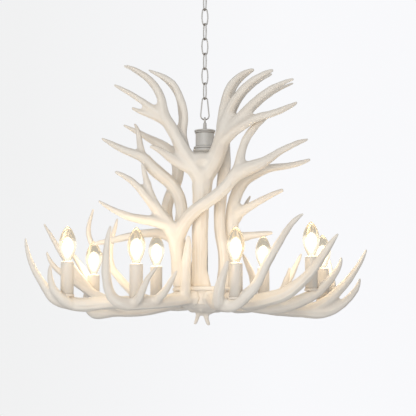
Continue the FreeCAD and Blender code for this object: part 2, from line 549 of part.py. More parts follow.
def crown_plate():
    """The resin disc that the crown antlers stand on, rimmed and countersunk from below."""
    low = TOP_FACE
    rim_low = low - CROWN_RIM_DROP
    plate = cylinder(CROWN_PLATE_D, rim_low, CROWN_FACE)
    top_edge = [e for e in plate.Edges if abs(e.BoundBox.ZMin - CROWN_FACE) < 0.01]
    plate = plate.makeFillet(CROWN_EDGE_R, top_edge)
    plate = plate.cut(cylinder(TOP_PLATE_D + 2 * TUBE_FIT, rim_low - 1, low))
    plate = plate.cut(cylinder(TUBE_D + 2 * TUBE_FIT, low - 1, CROWN_FACE + 1))
    for x, y in crown_places():
        plate = plate.cut(cylinder(CROWN_SCREW_D + 2 * SCREW_CLEARANCE, low - 1, CROWN_FACE + 1, x, y))
        sink = Part.makeCone(CROWN_HEAD_D / 2 + SCREW_CLEARANCE, CROWN_SCREW_D / 2 + SCREW_CLEARANCE,
                             CROWN_HEAD_H, V(x, y, low))
        plate = plate.cut(sink)
    return plate


def crown_screws():
    screws = []
    for x, y in crown_places():
        head = Part.makeCone(CROWN_HEAD_D / 2, CROWN_SCREW_D / 2, CROWN_HEAD_H, V(x, y, TOP_FACE))
        shank = cylinder(CROWN_SCREW_D, TOP_FACE + CROWN_HEAD_H, CROWN_FACE + CROWN_SCREW_GRIP, x, y)
        screws.append(head.fuse(shank))
    return Part.makeCompound(screws)


# ---- antlers -------------------------------------------------------------------------------------
def ridge_points(stations):
    """The corner points of a limb: for each ridge, one point at every station."""
    places = [V(x, y, z + HUB_Z) for x, y, z, radius in stations]
    across = None
    ridges = [[] for k in range(RIDGES)]
    for i, (place, station) in enumerate(zip(places, stations)):
        along = (places[min(i + 1, len(places) - 1)] - places[max(i - 1, 0)]).normalize()
        if across is None:
            across = along.cross(V(0, 0, 1) if abs(along.z) < 0.9 else V(1, 0, 0))
        across = (across - along * across.dot(along)).normalize()
        other = along.cross(across)
        reach = station[3] * RIDGE_GROWTH
        for k, ridge in enumerate(ridges):
            turn = 2 * math.pi * k / RIDGES
            ridge.append(place + across * (reach * math.cos(turn)) + other * (reach * math.sin(turn)))
    return places, ridges


def limb(stations):
    """One beam or tine: long ridge curves through the stations, with a strip between each pair."""
    places, ridges = ridge_points(stations)
    steps = [0.0]
    for start, end in zip(places, places[1:]):
        steps.append(steps[-1] + (end - start).Length)
    edges = []
    for ridge in ridges:
        curve = Part.BSplineCurve()
        curve.interpolate(Points=ridge, Parameters=steps)
        edges.append(curve.toShape())
    faces = [Part.makeRuledSurface(edges[k], edges[(k + 1) % RIDGES]) for k in range(RIDGES)]
    for end in (0, -1):
        ring_of_corners = [ridge[end] for ridge in ridges]
        faces.append(Part.Face(Part.makePolygon(ring_of_corners + ring_of_corners[:1])))
    shell = Part.makeShell(faces)
    shell.sewShape()
    body = Part.Solid(Part.Shell(shell.Faces))
    if body.Volume < 0:
        body.reverse()
    return body


def antler(branches):
    """A whole antler, cast in one piece: each tine starts inside the beam that carries it."""
    body = limb(branches[0])
    return body.multiFuse([limb(stations) for stations in branches[1:]])


def burr(beam):
    """The stations of the flared ring near a beam's sawn end."""
    start, towards = V(*beam[0][:3]), V(*beam[1][:3])
    along = (towards - start).normalize()
    return [(*(start + along * (BURR_START + step)), reach) for step, reach in BURR_FORM]


def arm_antler(number):
    """An arm, sawn flat between the plates, drilled for its screw, with its candle's seat and bore."""
    branches = ARM_ANTLERS[number]
    body = antler(branches + [burr(branches[0])])
    x, y = screw_places()[number - 1]
    upper, lower = HUB_Z + BUTT_FLAT, HUB_Z - BUTT_FLAT
    cuts = [cylinder(CROWN_PLATE_D + 2 * SAW_MARGIN, upper, upper + SAW_ROOM),
            cylinder(BOTTOM_PLATE_D + 2 * SAW_MARGIN, lower - SAW_ROOM, lower),
            cylinder(HUB_SCREW_D + 2 * SCREW_CLEARANCE, lower - SAW_ROOM, upper + SAW_ROOM, x, y)]
    for arm, cx, cy, seat in CANDLES.values():
        if arm == number:
            floor = HUB_Z + seat
            cuts.append(cylinder(SEAT_CLEAR_D, floor, floor + SLEEVE_HEIGHT, cx, cy))
            cuts.append(cylinder(NIPPLE_D + 2 * SPIGOT_FIT, floor - NIPPLE_IN_ARM, floor + 1, cx, cy))
    return body.cut(cuts)


def crown_antler(number):
    """A standing antler, sawn flat at its foot and drilled for its screw."""
    body = antler(CROWN_ANTLERS[number])
    x, y = crown_places()[number - 1]
    side = CROWN_PLATE_D
    waste = Part.makeBox(side, side, side, V(x - side / 2, y - side / 2, CROWN_FACE - side))
    hole = cylinder(CROWN_SCREW_D + 2 * SPIGOT_FIT, CROWN_FACE - 1, CROWN_FACE + CROWN_SCREW_GRIP + 1, x, y)
    return body.cut([waste, hole])


def bottom_finial():
    """The cast boss under the hub, with its knobs, its two small prongs and room for nut and screws."""
    profile = [(r, BOTTOM_FACE - depth) for r, depth in FINIAL_FORM]
    boss = turned([(0, BOTTOM_FACE)] + profile + [(0, profile[-1][1])])
    knobs = []
    for k in range(KNOB_COUNT):
        turn = 2 * math.pi * k / KNOB_COUNT
        knobs.append([(r * math.cos(turn), r * math.sin(turn), z, reach) for r, z, reach in KNOB_FORM])
    boss = boss.multiFuse([limb(stations) for stations in FINIAL_PRONGS + knobs])
    screw_d, screw_low = HUB_HEAD_D + 2 * FINIAL_SCREW_ROOM, BOTTOM_FACE - HUB_HEAD_H - FINIAL_SCREW_ROOM
    rooms = [cylinder(screw_d, screw_low, BOTTOM_FACE + 1, x, y) for x, y in screw_places()]
    rooms.append(cylinder(FINIAL_NUT_CLEAR_D, BOTTOM_FACE - FINIAL_NUT_ROOM, BOTTOM_FACE + 1))
    rooms.append(cylinder(TUBE_D + 2 * SPIGOT_FIT, TUBE_BOTTOM - 1, BOTTOM_FACE))
    return boss.cut(rooms)


# ---- candles -------------------------------------------------------------------------------------
def candle_cup():
    """The dish that the sleeve stands in, on the flat of the beam."""
    rim = CANDLE_CUP_D / 2
    top = CANDLE_CUP_THICK + CANDLE_CUP_RIM
    inside = SLEEVE_D / 2 + TUBE_FIT
    bore = NIPPLE_D / 2 + TUBE_FIT
    return turned([(bore, 0), (rim - 1, 0), (rim, 1), (rim, top), (inside, top), (inside, CANDLE_CUP_THICK),
                   (bore, CANDLE_CUP_THICK)])


def candle_nipple():
    top = CANDLE_CUP_THICK + HOLDER_START + NIPPLE_IN_HOLDER
    tube = cylinder(NIPPLE_D, -NIPPLE_IN_ARM, top)
    return tube.cut(cylinder(NIPPLE_BORE, -NIPPLE_IN_ARM - 1, top + 1))


def lampholder():
    """The moulded holder on the nipple, with a socket for the bulb's cap."""
    low = CANDLE_CUP_THICK + HOLDER_START
    top = CANDLE_CUP_THICK + SLEEVE_HEIGHT - HOLDER_BELOW_LIP
    socket = CAP_D / 2 + CAP_FIT
    bore = NIPPLE_D / 2 + SPIGOT_FIT
    socket_floor = top - CAP_HEIGHT - HOLDER_UNDER_CAP
    return turned([(bore, low), (HOLDER_D / 2, low), (HOLDER_D / 2, top - 12), (HOLDER_TOP_D / 2, top - 10),
                   (HOLDER_TOP_D / 2, top), (socket, top), (socket, socket_floor), (3.0, socket_floor),
                   (3.0, low + HOLDER_BASE_THICK), (bore, low + HOLDER_BASE_THICK)])


def candle_sleeve():
    """The candle tube: it drops over the holder and closes in a rounded lip round it."""
    low = CANDLE_CUP_THICK
    top = low + SLEEVE_HEIGHT
    outer = cylinder(SLEEVE_D, low, top)
    outer = outer.makeFillet(SLEEVE_EDGE_R, [e for e in outer.Edges if abs(e.BoundBox.ZMin - top) < 0.01])
    bore = cylinder(SLEEVE_D - 2 * SLEEVE_WALL, low - 1, top - SLEEVE_EDGE_R)
    mouth = cylinder(HOLDER_TOP_D + 2 * TUBE_FIT, low, top + 1)
    return outer.cut(bore).cut(mouth)


def glass_form(shrink):
    """The solid inside the bulb's outline, drawn in by the glass thickness: two arcs and a drawn tip."""
    neck = BULB_NECK_D / 2 - shrink
    belly = BULB_D / 2 - shrink
    top = BULB_HEIGHT - 2 * shrink
    widest, shoulder, tip = V(belly, 0, top * 0.33), V(belly * 0.27, 0, top * 0.9), V(belly * 0.06, 0, top)
    wire = Part.Wire([
        Part.LineSegment(V(0, 0, 0), V(neck, 0, 0)).toShape(),
        Part.Arc(V(neck, 0, 0), V(belly * 0.84, 0, top * 0.13), widest).toShape(),
        Part.Arc(widest, V(belly * 0.74, 0, top * 0.63), shoulder).toShape(),
        Part.LineSegment(shoulder, tip).toShape(),
        Part.LineSegment(tip, V(0, 0, top)).toShape(),
        Part.LineSegment(V(0, 0, top), V(0, 0, 0)).toShape()])
    return Part.Face(wire).revolve(V(0, 0, 0), V(0, 0, 1), 360)


def bulb():
    """A candle bulb: screw cap, thin glass, and the stem that holds the light source."""
    low = CANDLE_CUP_THICK + SLEEVE_HEIGHT + BULB_LIFT
    glass = at(glass_form(0.0), 0, 0, low).cut(at(glass_form(BULB_GLASS), 0, 0, low + BULB_GLASS))
    stem = cylinder(BULB_STEM_D, low, low + BULB_STEM_H)
    stem = stem.makeFillet(BULB_STEM_D * 0.45, [e for e in stem.Edges
                                                if abs(e.BoundBox.ZMin - low - BULB_STEM_H) < 0.01])
    cap_low = low - CAP_HEIGHT
    cap = turned([(0, cap_low), (3, cap_low), (4, cap_low + 2), (CAP_D / 2, cap_low + 4),
                  (CAP_D / 2, low), (0, low)])
    return glass.multiFuse([stem, cap])


def on_each_seat(piece):
    """Copies of a candle piece, one on the flat of each arm, keyed by candle number."""
    return {n: at(piece, x, y, HUB_Z + seat) for n, (arm, x, y, seat) in CANDLES.items()}


# ---- the whole chandelier ------------------------------------------------------------------------
write("ceiling_bracket", ceiling_bracket())
write("canopy", canopy())
write("canopy_loop", canopy_loop())
write("canopy_nuts", canopy_nuts())

for number in range(LINK_COUNT):
    link_top = FIRST_TOP - number * LINK_PITCH
    write("chain_link_%d" % (number + 1),
          chain_link(link_top, LINK_LENGTH, LINK_WIDTH, LINK_WIDTH, number % 2 == 1))
write("chain_link_%d" % (LINK_COUNT + 1),
      chain_link(LAST_TOP, LAST_LINK_LENGTH, LAST_LINK_TOP_W, LAST_LINK_BOTTOM_W, LINK_COUNT % 2 == 1))

write("loop_stem", loop_stem())
write("collar_lid", collar_lid())
write("collar_cup", collar_cup())
write("centre_tube", centre_tube())
write("tube_nuts", tube_nuts())

write("hub_top_plate", clamp_plate(TOP_PLATE_D, HUB_Z + BUTT_FLAT, HUB_SCREW_D + 2 * SPIGOT_FIT))
write("hub_bottom_plate", clamp_plate(BOTTOM_PLATE_D, BOTTOM_FACE, HUB_SCREW_D + 2 * SCREW_CLEARANCE))
write("hub_spacer", hub_spacer())
write("hub_screws", hub_screws())
write("crown_plate", crown_plate())
write("crown_screws", crown_screws())
write("bottom_finial", bottom_finial())

for number in ARM_ANTLERS:
    write("arm_antler_%d" % number, arm_antler(number))
for number in CROWN_ANTLERS:
    write("crown_antler_%d" % number, crown_antler(number))

write("candle_cups", Part.makeCompound(list(on_each_seat(candle_cup()).values())))
write("candle_nipples", Part.makeCompound(list(on_each_seat(candle_nipple()).values())))
write("lampholders", Part.makeCompound(list(on_each_seat(lampholder()).values())))
for number, sleeve in on_each_seat(candle_sleeve()).items():
    write("candle_sleeve_%d" % number, sleeve)
for number, lamp in on_each_seat(bulb()).items():
    write("bulb_%d" % number, lamp)

print("hub height %.1f, eye centre %.1f, loop wire %.1f" % (HUB_Z, EYE_CENTRE, LOOP_BOTTOM))
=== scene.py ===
"""Antler chandelier: cast resin antlers on a clamped hub, candle lights, a turned collar and a link chain.

The pieces follow the order in which the light is put together, from the ceiling down.
"""

import math

import bmesh
import bpy
import numpy as np
from mathutils import Matrix, Vector
from mathutils.kdtree import KDTree


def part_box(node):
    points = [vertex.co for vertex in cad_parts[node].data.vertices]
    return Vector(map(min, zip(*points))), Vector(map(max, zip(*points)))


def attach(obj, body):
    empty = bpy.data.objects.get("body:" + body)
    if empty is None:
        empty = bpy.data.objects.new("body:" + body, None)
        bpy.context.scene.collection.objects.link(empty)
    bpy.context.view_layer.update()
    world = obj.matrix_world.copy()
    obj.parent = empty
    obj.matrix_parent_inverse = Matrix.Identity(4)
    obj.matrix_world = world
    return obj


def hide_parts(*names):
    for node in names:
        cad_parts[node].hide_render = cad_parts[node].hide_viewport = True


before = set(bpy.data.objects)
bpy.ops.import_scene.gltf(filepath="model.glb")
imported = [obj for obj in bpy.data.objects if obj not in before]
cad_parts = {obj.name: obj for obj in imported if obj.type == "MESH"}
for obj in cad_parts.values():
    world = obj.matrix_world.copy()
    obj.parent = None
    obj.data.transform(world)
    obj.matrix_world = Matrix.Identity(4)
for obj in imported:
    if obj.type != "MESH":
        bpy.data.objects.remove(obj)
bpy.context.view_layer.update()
MM = 0.001


# ---- Ceiling bar and its nuts --------------------------------------------------------------------
# A joggled steel bar screwed to the ceiling, with a nut on each side of its web.
# Zinc plated: bare bright metal with a faint cloudy bloom.
def new_material(name):
    """A new node material, with its node tree and its Principled shader."""
    material = bpy.data.materials.new(name)
    material.use_nodes = True
    tree = material.node_tree
    shader = tree.nodes["Principled BSDF"]
    return material, tree, shader


def noise_on(tree, scale, detail=4.0, stretch=(1, 1, 1)):
    """Noise that sits on the piece itself, in metres, stretched where the finish is."""
    place = tree.nodes.new("ShaderNodeTexCoord")
    mapping = tree.nodes.new("ShaderNodeMapping")
    mapping.inputs["Scale"].default_value = stretch
    noise = tree.nodes.new("ShaderNodeTexNoise")
    noise.inputs["Scale"].default_value = scale
    noise.inputs["Detail"].default_value = detail
    tree.links.new(place.outputs["Object"], mapping.inputs["Vector"])
    tree.links.new(mapping.outputs["Vector"], noise.inputs["Vector"])
    return noise


def ramp_from(tree, source, low, high, start=0.3, end=0.7):
    """A colour that runs from low to high as the source goes from start to end."""
    ramp = tree.nodes.new("ShaderNodeValToRGB")
    ramp.color_ramp.elements[0].position = start
    ramp.color_ramp.elements[0].color = (*low, 1)
    ramp.color_ramp.elements[1].position = end
    ramp.color_ramp.elements[1].color = (*high, 1)
    tree.links.new(source, ramp.inputs["Fac"])
    return ramp.outputs["Color"]


def bump_from(tree, shader, source, depth, strength):
    """Fine unevenness of the finish, from a source that runs from 0 to 1."""
    bump = tree.nodes.new("ShaderNodeBump")
    bump.inputs["Distance"].default_value = depth
    bump.inputs["Strength"].default_value = strength
    tree.links.new(source, bump.inputs["Height"])
    tree.links.new(bump.outputs["Normal"], shader.inputs["Normal"])


def zinc_plate():
    material, tree, shader = new_material("zinc_plate")
    bloom = noise_on(tree, 90.0)
    tree.links.new(ramp_from(tree, bloom.outputs["Fac"], (0.52, 0.53, 0.54), (0.68, 0.69, 0.70)),
                   shader.inputs["Base Color"])
    shader.inputs["Metallic"].default_value = 1.0
    shader.inputs["Roughness"].default_value = 0.36
    bump_from(tree, shader, noise_on(tree, 900.0).outputs["Fac"], 0.0001, 0.25)
    return material


ZINC = zinc_plate()


def finish_node(node, material):
    """A CAD piece that is shown as it is, in its own finish."""
    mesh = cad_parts[node].data
    mesh.materials.clear()
    mesh.materials.append(material)


for node in ("ceiling_bracket", "canopy_nuts"):
    finish_node(node, ZINC)


# ---- Canopy and its ring -------------------------------------------------------------------------
# A spun steel dish that hides the bar, and the flanged stem with the ring that carries the chain.
# Both are enamelled in the collar's soft grey white, with brown shade painted on the chain and collar.
def grey_enamel():
    material, tree, shader = new_material("grey_enamel")
    tone = noise_on(tree, 26.0)
    enamel = ramp_from(tree, tone.outputs["Fac"], (0.60, 0.585, 0.555), (0.67, 0.66, 0.635))
    # Painted shade: a dark brown mixed in where the attribute marks link contacts and grooves.
    patina = tree.nodes.new("ShaderNodeAttribute")
    patina.attribute_name = "patina"
    shaded_enamel = tree.nodes.new("ShaderNodeMix")
    shaded_enamel.data_type = "RGBA"
    shaded_enamel.inputs["B"].default_value = (0.17, 0.13, 0.10, 1)
    tree.links.new(patina.outputs["Fac"], shaded_enamel.inputs["Factor"])
    tree.links.new(enamel, shaded_enamel.inputs["A"])
    tree.links.new(shaded_enamel.outputs["Result"], shader.inputs["Base Color"])
    shader.inputs["Roughness"].default_value = 0.42
    shader.inputs["Coat Weight"].default_value = 0.15
    shader.inputs["Coat Roughness"].default_value = 0.3
    bump_from(tree, shader, noise_on(tree, 420.0).outputs["Fac"], 0.00015, 0.3)
    return material


ENAMEL = grey_enamel()
for node in ("canopy", "canopy_loop"):
    finish_node(node, ENAMEL)


# ---- Chain ---------------------------------------------------------------------------------------
# Oval links bent from round wire and butt welded on one side, with a wider link at the bottom, and
# brown shade painted where they hang on each other. Each is spun round the arcs that the wire is bent to.
WIRE_R = 1.75 * MM
HANGING_WIRE = 3.0 * MM        # from a link's end to the face that the next link hangs on
BOW_R = 6.3 * MM               # centreline of the tight bows
WELD_SWELL = 1.16              # the butt weld stands this share proud of the wire
WIRE_SIDES = 14
BOW_STEPS, SIDE_STEPS, FOOT_STEPS = 12, 8, 14
CHAIN_TWIST = math.radians(24)         # the chain hangs turned a little, as the loose links let it
LAST_LINK_TWIST = math.radians(8)
LAST_LINK_TOP = 17 * MM        # width of its narrow bow
# How far and how dark the painted shade spreads where the links hang on each other.
SHADE_MARK_REACH = 5.5 * MM
SHADE_MARK_STRENGTH = 0.95


def shaded(bm, name, material):
    """A finished piece from its bmesh: smooth shaded, at the origin, in one finish."""
    bmesh.ops.recalc_face_normals(bm, faces=bm.faces)
    mesh = bpy.data.meshes.new(name)
    bm.to_mesh(mesh)
    bm.free()
    mesh.shade_smooth()
    mesh.materials.append(material)
    piece = bpy.data.objects.new(name, mesh)
    bpy.context.scene.collection.objects.link(piece)
    return piece


def paint_shade_marks(piece, heights, reach, strength=1.0):
    """Brown shade painted round the given heights, fading out over the reach."""
    value = piece.data.attributes.new("patina", "FLOAT", "POINT")
    for vertex, mark in zip(piece.data.vertices, value.data):
        gap = min(abs(vertex.co.z - height) for height in heights)
        mark.value = strength * max(0.0, 1 - gap / reach) ** 1.5


def bent(bm, edges, centre_x, centre_z, turn, steps):
    """Spins the open wire end on round a bend, and gives the new end."""
    made = bmesh.ops.spin(bm, geom=edges, cent=(centre_x, 0, centre_z), axis=(0, -1, 0), angle=turn,
                          steps=steps)["geom_last"]
    return [g for g in made if isinstance(g, bmesh.types.BMEdge)]


def wire_start(bm, x, z, lean):
    """The first section of the wire, square to a wire that leans in by this much."""
    bmesh.ops.create_circle(bm, segments=WIRE_SIDES, radius=WIRE_R)
    bmesh.ops.rotate(bm, verts=bm.verts, cent=(0, 0, 0), matrix=Matrix.Rotation(-lean, 3, "Y"))
    bmesh.ops.translate(bm, verts=bm.verts, vec=(x, 0, z))
    return list(bm.edges)


def oval_link(bm, half_width, half_height, middle):
    """A plain link of four arcs: two tight bows and two slack sides."""
    side_r = (half_height ** 2 + half_width ** 2 - 2 * half_height * BOW_R) / (2 * (half_width - BOW_R))
    slack = math.atan2(half_height - BOW_R, side_r - half_width)
    bow_z = half_height - BOW_R
    start = wire_start(bm, BOW_R * math.cos(slack), middle + bow_z + BOW_R * math.sin(slack), slack)
    end = bent(bm, start, 0, middle + bow_z, math.pi - 2 * slack, BOW_STEPS)
    end = bent(bm, end, side_r - half_width, middle, 2 * slack, SIDE_STEPS)
    end = bent(bm, end, 0, middle - bow_z, math.pi - 2 * slack, BOW_STEPS)
    end = bent(bm, end, half_width - side_r, middle, 2 * slack, SIDE_STEPS)
    bmesh.ops.remove_doubles(bm, verts=bm.verts, dist=0.01 * MM)
    weld = [v for v in bm.verts if v.co.x < 0 and abs(v.co.z - middle) < 0.2 * MM]
    bmesh.ops.scale(bm, verts=weld, vec=(WELD_SWELL, WELD_SWELL, 1),
                    space=Matrix.Translation((half_width, 0, -middle)))


def wide_link(bm, top_width, half_width, top, low):
    """The bottom link: a narrow bow over a wide one, with straight sides."""
    upper = top_width / 2 - WIRE_R
    high_z, low_z = top - WIRE_R - upper, low + WIRE_R + half_width
    lean = math.asin((half_width - upper) / (high_z - low_z))
    start = wire_start(bm, upper * math.cos(lean), high_z + upper * math.sin(lean), lean)
    end = bent(bm, start, 0, high_z, math.pi - 2 * lean, BOW_STEPS)
    side = Vector((-half_width * math.cos(lean), 0, low_z + half_width * math.sin(lean)))
    side -= Vector((-upper * math.cos(lean), 0, high_z + upper * math.sin(lean)))
    made = bmesh.ops.extrude_edge_only(bm, edges=end)["geom"]
    verts = [g for g in made if isinstance(g, bmesh.types.BMVert)]
    bmesh.ops.translate(bm, verts=verts, vec=side)
    end = [g for g in made if isinstance(g, bmesh.types.BMEdge) and all(v in verts for v in g.verts)]
    end = bent(bm, end, 0, low_z, math.pi + 2 * lean, FOOT_STEPS)
    bmesh.ops.bridge_loops(bm, edges=end + start)


LINKS = sorted(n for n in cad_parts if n.startswith("chain_link_"))
for node in LINKS:
    low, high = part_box(node)
    across = max(high.x - low.x, high.y - low.y)
    top, foot = high.z - HANGING_WIRE + 2 * WIRE_R, low.z + HANGING_WIRE - 2 * WIRE_R
    bm = bmesh.new()
    if node == LINKS[-1]:
        wide_link(bm, LAST_LINK_TOP, across / 2 - WIRE_R, top, foot)
    else:
        oval_link(bm, across / 2 - WIRE_R, (top - foot) / 2 - WIRE_R, (top + foot) / 2)
    turn = LAST_LINK_TWIST if node == LINKS[-1] else CHAIN_TWIST
    turn += math.pi / 2 if high.y - low.y > high.x - low.x else 0
    bmesh.ops.rotate(bm, verts=bm.verts, cent=(0, 0, 0), matrix=Matrix.Rotation(turn, 3, "Z"))
    link = shaded(bm, "wire_" + node, ENAMEL)
    # Painted shade at the link's top and foot, where it hangs on its neighbours.
    paint_shade_marks(link, (top - WIRE_R, foot + WIRE_R), SHADE_MARK_REACH, SHADE_MARK_STRENGTH)
    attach(link, node.replace("chain_", ""))
    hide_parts(node)


# ---- Collar --------------------------------------------------------------------------------------
# Three turned metal pieces, enamelled, on the top of the centre tube: the stem with its eye, a
# rimmed lid, and the cup with its two rolled beads and short cone. Shade is painted into their grooves.
TURN_STEPS = 72
CUP_BORE_R = 8.3 * MM
CUP_BODY_R = 23.5 * MM
CUP_BODY_H = 34 * MM
CUP_WALL = 3 * MM
CONE_FOOT_R = 15.5 * MM
CUP_GROOVES = (0, 33.6 * MM, 39.8 * MM)                # under the cup's top, where shade is painted
LID_BORE_R = 6.3 * MM
LID_SPIGOT_R = 20.2 * MM
LID_THICK = 8 * MM
LID_GROOVES = (4 * MM, 7.6 * MM)                       # under the lid's top
STEM_SPIGOT_R = 5.95 * MM
STEM_TOP_R = 4.5 * MM
EYE_WIRE_R = 2.5 * MM
EYE_RING_R = 6.5 * MM


def arc(centre_r, centre_z, radius, start, end, count=7):
    """Points on an arc of a half section, from one angle to another in degrees."""
    angles = [math.radians(start + (end - start) * k / (count - 1)) for k in range(count)]
    return [(centre_r + radius * math.cos(a), centre_z + radius * math.sin(a)) for a in angles]


def spun(name, section, material, steps=TURN_STEPS, place=(0, 0, 0)):
    """A turned piece: the half section, (radius, height) in metres, is spun round the Z axis."""
    bm = bmesh.new()
    verts = [bm.verts.new((r, 0, z)) for r, z in section]
    edges = [bm.edges.new(pair) for pair in zip(verts, verts[1:])]
    bmesh.ops.spin(bm, geom=verts + edges, cent=(0, 0, 0), axis=(0, 0, 1), angle=2 * math.pi,
                   steps=steps, use_merge=True)
    bmesh.ops.remove_doubles(bm, verts=bm.verts, dist=1e-6)
    bmesh.ops.translate(bm, verts=bm.verts, vec=place)
    return shaded(bm, name, material)


def fixed_piece(piece, node, body="chandelier"):
    """The piece stands in for its CAD node, on the body that carries it."""
    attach(piece, body)
    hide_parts(node)
    return piece


low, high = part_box("collar_cup")
cup_top, cup_foot = high.z, low.z
bead_r = (high.x - low.x) / 2
shoulder = cup_top - CUP_BODY_H
cup_floor = shoulder + CUP_WALL
cup_section = ([(CUP_BORE_R, cup_foot), (CONE_FOOT_R, cup_foot)]
               + arc(CONE_FOOT_R, cup_foot + 1.2 * MM, 1.2 * MM, -90, -20, 4)
               + [(20.5 * MM, cup_foot + 9 * MM), (22.5 * MM, cup_foot + 13.2 * MM)]
               + arc(bead_r - 5 * MM, shoulder - 10.2 * MM, 5 * MM, -70, 80, 9)
               + arc(bead_r - 4 * MM, shoulder - 3 * MM, 2.6 * MM, -60, 80, 7)
               + [(CUP_BODY_R + 0.6 * MM, shoulder + 0.2 * MM), (CUP_BODY_R, shoulder + 1.2 * MM),
                  (CUP_BODY_R, shoulder + 2 * MM), (CUP_BODY_R, cup_top - 1.5 * MM),
                  (CUP_BODY_R, cup_top - 0.4 * MM), (CUP_BODY_R - 0.4 * MM, cup_top),
                  (CUP_BODY_R - CUP_WALL, cup_top), (CUP_BODY_R - CUP_WALL, cup_floor),
                  (CUP_BORE_R, cup_floor), (CUP_BORE_R, cup_foot)])
cup = spun("collar_body", cup_section, ENAMEL)
# Painted shade at the cup's top and in its grooves.
paint_shade_marks(cup, [cup_top - depth for depth in CUP_GROOVES], 1.3 * MM)
fixed_piece(cup, "collar_cup")

low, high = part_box("collar_lid")
lid_r, lid_top = (high.x - low.x) / 2, high.z
lid_under = lid_top - LID_THICK
lid_section = ([(LID_BORE_R, lid_top), (lid_r - 6 * MM, lid_top)]
               + arc(lid_r - 1.8 * MM, lid_top - 1.8 * MM, 1.8 * MM, 90, -60, 7)
               + [(lid_r - 2.6 * MM, lid_top - 4 * MM)]
               + arc(lid_r - 2.2 * MM, lid_top - 5.8 * MM, 1.4 * MM, 60, -90, 6)
               + [(LID_SPIGOT_R, lid_under), (LID_SPIGOT_R, low.z), (LID_SPIGOT_R - 3 * MM, low.z),
                  (LID_SPIGOT_R - 3 * MM, lid_under), (LID_BORE_R, lid_under), (LID_BORE_R, lid_top)])
lid = spun("collar_cap", lid_section, ENAMEL)
# Painted shade in the lid's grooves.
paint_shade_marks(lid, [lid_top - depth for depth in LID_GROOVES], 1.0 * MM)
fixed_piece(lid, "collar_lid")

low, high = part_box("loop_stem")
eye_z = high.z - EYE_WIRE_R - EYE_RING_R
eye_foot = eye_z - EYE_RING_R
stem_section = ([(0, low.z), (STEM_SPIGOT_R, low.z), (STEM_SPIGOT_R, lid_top), (7 * MM, lid_top)]
                + arc(6 * MM, lid_top + 2 * MM, 1 * MM, 0, 90, 4)
                + [(5.4 * MM, lid_top + 4.5 * MM), (4.7 * MM, lid_top + 8 * MM),
                   (STEM_TOP_R, eye_foot - 3 * MM)]
                + arc(STEM_TOP_R - 2 * MM, eye_foot - 1.5 * MM, 2 * MM, 0, 90, 5)
                + [(0, eye_foot + 0.5 * MM)])
stem = spun("collar_stem", stem_section, ENAMEL)
eye = bmesh.new()
bmesh.ops.create_circle(eye, segments=18, radius=EYE_WIRE_R)
bmesh.ops.translate(eye, verts=eye.verts, vec=(EYE_RING_R, 0, 0))
bmesh.ops.spin(eye, geom=list(eye.verts) + list(eye.edges), cent=(0, 0, 0), axis=(0, -1, 0),
               angle=2 * math.pi, steps=40, use_merge=True)
bmesh.ops.rotate(eye, verts=eye.verts, cent=(0, 0, 0), matrix=Matrix.Rotation(math.pi / 2, 3, "Z"))
bmesh.ops.translate(eye, verts=eye.verts, vec=(0, 0, eye_z))
ring = shaded(eye, "eye", ENAMEL)
bm = bmesh.new()
bm.from_mesh(stem.data)
bm.from_mesh(ring.data)
bpy.data.objects.remove(ring)
bm.to_mesh(stem.data)
bm.free()
stem.data.shade_smooth()
fixed_piece(stem, "loop_stem")


# ---- Hub: centre tube, plates and screws ---------------------------------------------------------
# A threaded tube with its nuts, two steel plates and a spacer on it, painted to go with the antlers,
# and plated screws. Some draw the plates together through the arms, others hold the crown antlers.
def hub_paint():
    material, tree, shader = new_material("hub_paint")
    tone = noise_on(tree, 40.0)
    tree.links.new(ramp_from(tree, tone.outputs["Fac"], (0.80, 0.72, 0.62), (0.87, 0.80, 0.71)),
                   shader.inputs["Base Color"])
    shader.inputs["Roughness"].default_value = 0.55
    bump_from(tree, shader, noise_on(tree, 500.0).outputs["Fac"], 0.0002, 0.3)
    return material


HUB_PAINT = hub_paint()
for node in ("hub_top_plate", "hub_spacer", "hub_bottom_plate"):
    finish_node(node, HUB_PAINT)
for node in ("centre_tube", "tube_nuts", "hub_screws", "crown_screws"):
    finish_node(node, ZINC)


# ---- Antlers -------------------------------------------------------------------------------------
# Cast resin antlers, warm white and dull. The arms are clamped by their sawn ends, the crown stands
# on the disc. The skin is grown and drawn back, which webs the forks, and the long shallow furrows
# are noise that is drawn out along the line of the beam. Shade is painted into the furrows' colour.
WEB = 5.0 * MM                 # radius of the webs in the forks
PLUMP = 0.9 * MM               # smoothing thins the tines, so they are drawn back less than grown
FIRST_VOXEL = 2.2 * MM
VOXEL = 1.7 * MM
WELD_DISTANCE = 0.02 * MM
SMOOTH_ROUNDS = 6
LINE_ROUNDS = 36               # how far round a vertex the line of its beam is read
STOUTNESS_ROUNDS = 10
GRAIN_ROUNDS = 3               # evens the noise before it is drawn out
FURROW_DEPTH = 0.17 * MM       # for one standard deviation of the noise
FURROW_STEPS = (7.0 * MM, 4.3 * MM, 2.4 * MM)          # along the beam, as the noise is drawn out
FURROW_ROUNDS = 12
SWELL_DEPTH = 0.25 * MM
SWELL_ROUNDS = 60
TIP_STOUTNESS, STOUTNESS_RISE = 0.62, 0.25             # the furrows fade out on the thin tips
FURROW_PAINTED_SHADE = 0.22             # and paint shade into the resin by this much, darker in them and lighter on their ridges


